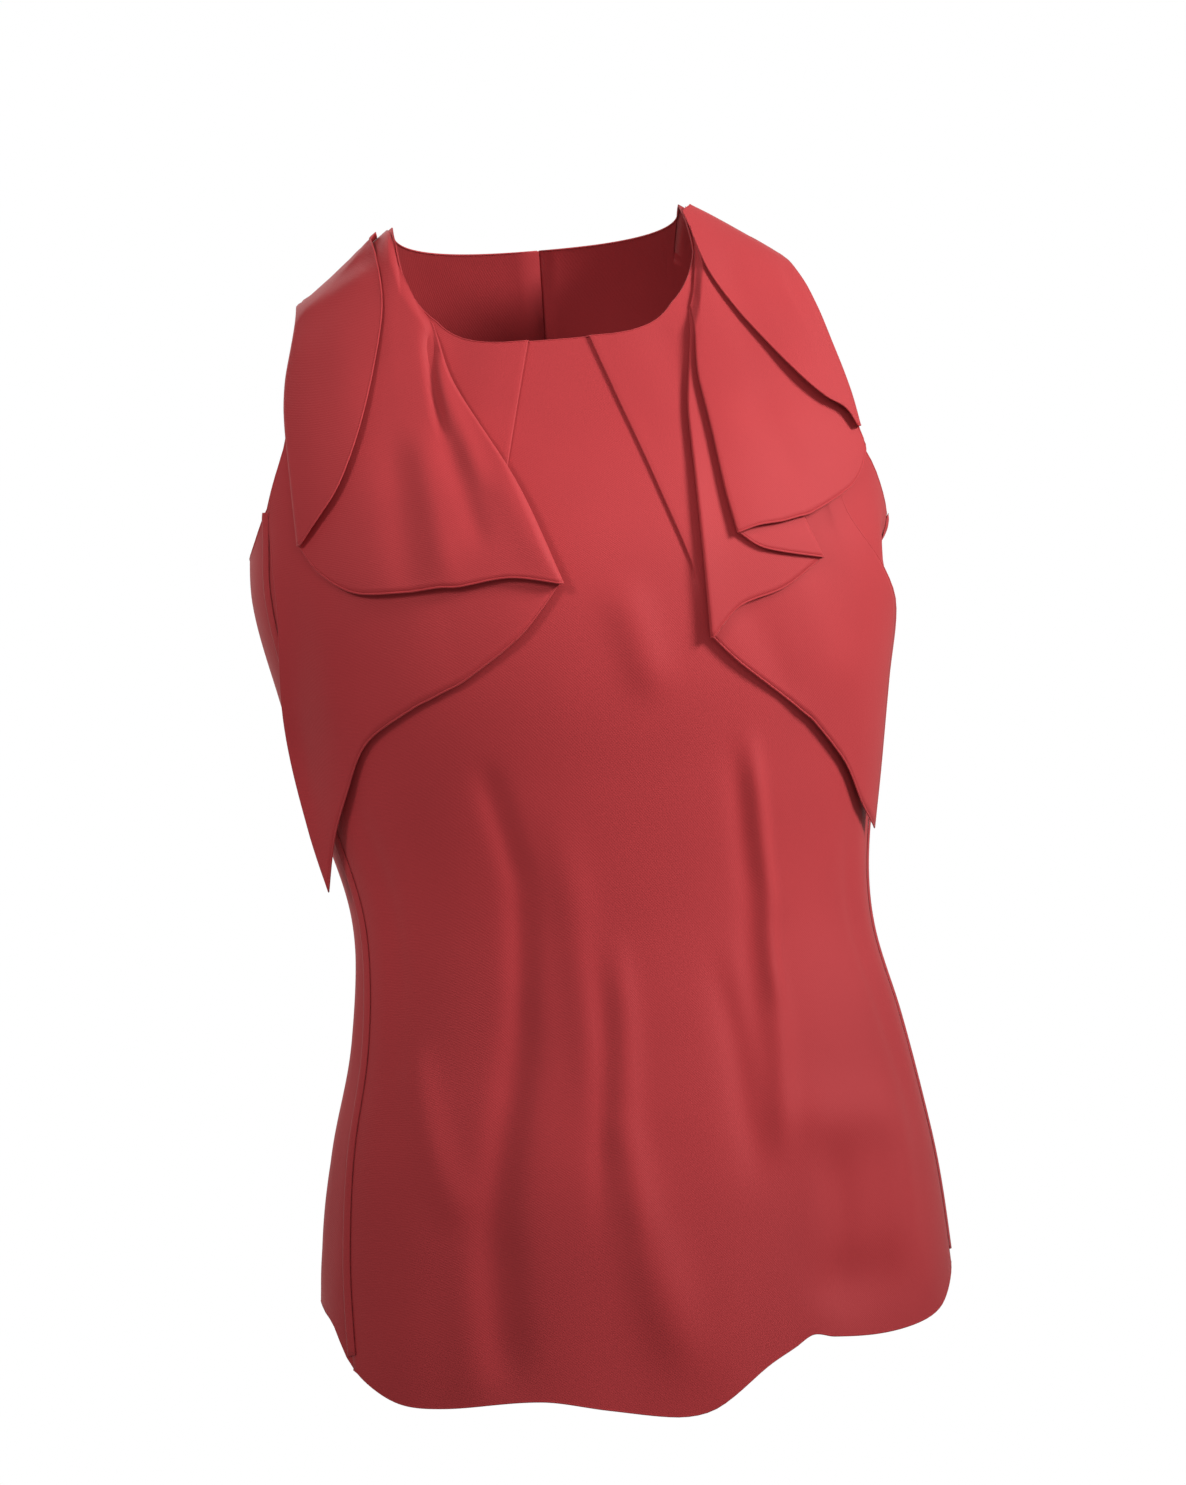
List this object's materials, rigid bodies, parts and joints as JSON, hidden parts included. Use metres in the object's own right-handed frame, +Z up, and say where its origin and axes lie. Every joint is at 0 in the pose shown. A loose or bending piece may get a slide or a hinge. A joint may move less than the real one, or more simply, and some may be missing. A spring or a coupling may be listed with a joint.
{
  "type": "ruffled blouse",
  "caption": "Sleeveless red crepe blouse with cascade ruffles from the shoulders, pleated round neck, nape slit with button and a wavy hem.",
  "frame": {"origin": "midway between the two points where the shoulder seams meet the neck, where the wearer's shoulders carry the blouse", "axes": "+Z up along the wearer, -Y towards the front of the blouse, +X towards the wearer's left"},
  "size_m": [0.3363, 0.229, 0.6302],
  "materials": {
    "front_cloth": "matte crepe with a soft sheen",
    "back_cloth": "matte crepe with a soft sheen",
    "ruffle_cloth": "matte crepe with a soft sheen",
    "button": "satin, dyed to the cloth",
    "loop_thread": "twisted thread"
  },
  "bodies": {
    "root": {"front_panel": "front_cloth", "back_panel": "back_cloth", "wearer_right_ruffle": "ruffle_cloth", "wearer_left_ruffle": "ruffle_cloth", "nape_button": "button", "nape_loop": "loop_thread"}
  },
  "joints": []
}
